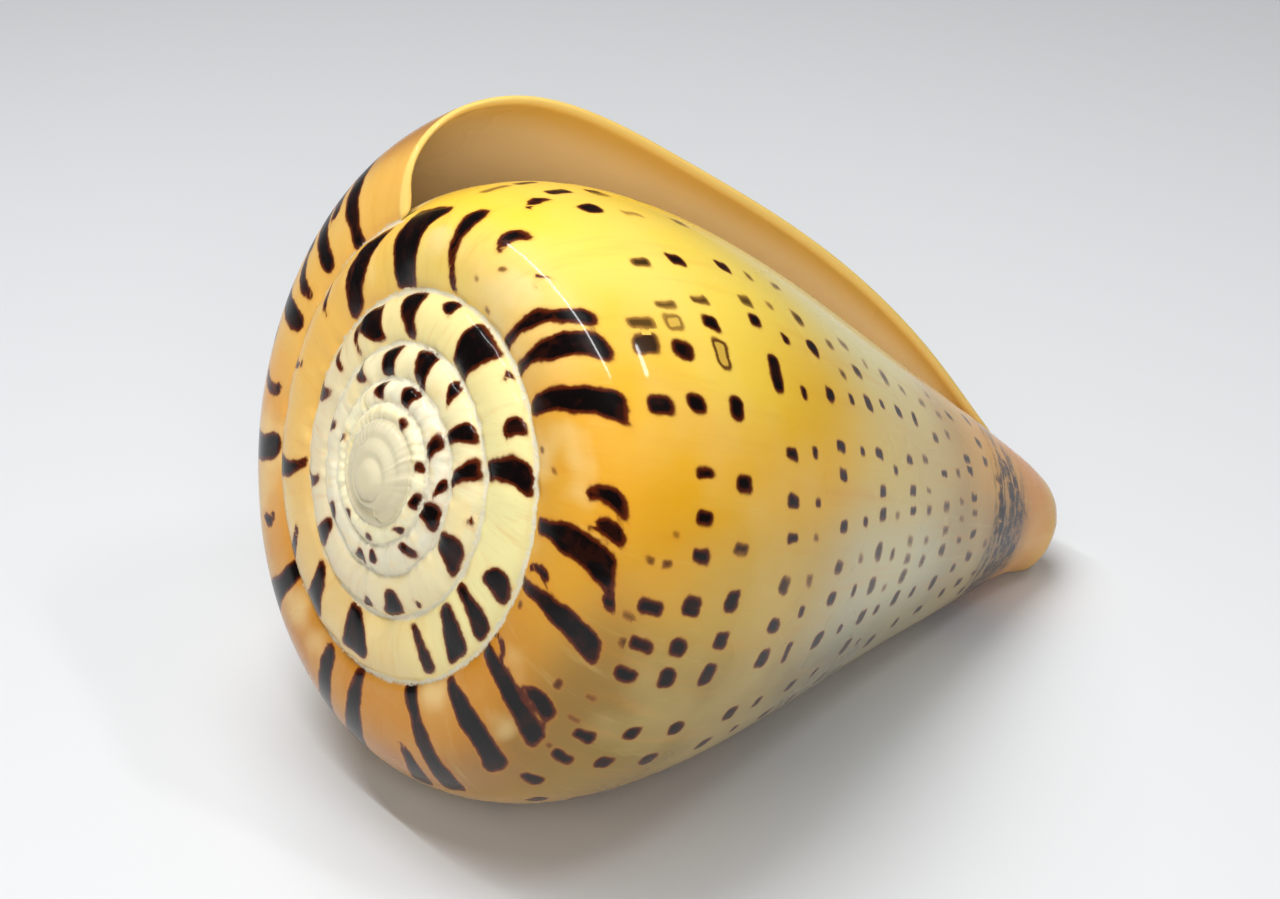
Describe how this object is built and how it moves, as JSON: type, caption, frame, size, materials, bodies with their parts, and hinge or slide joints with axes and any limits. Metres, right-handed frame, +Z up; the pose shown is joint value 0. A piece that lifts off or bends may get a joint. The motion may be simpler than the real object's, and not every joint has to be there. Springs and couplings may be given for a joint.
{
  "type": "beech cone shell",
  "caption": "Heavy cone-shaped sea shell lying on its side, with a low spiral spire, a wide rounded shoulder, a narrow tip and a long open mouth.",
  "frame": {"origin": "on the surface that the shell rests on, below the middle of its box", "axes": "+Z up; +X the long way, from the spire to the anterior tip; -Y towards the side that the picture shows"},
  "size_m": [0.0884, 0.0625, 0.0624],
  "materials": {
    "shell": "glossy natural shell, golden yellow to cream with dark brown flames and rows of spots"
  },
  "bodies": {
    "root": {"shell": "shell"}
  },
  "joints": []
}
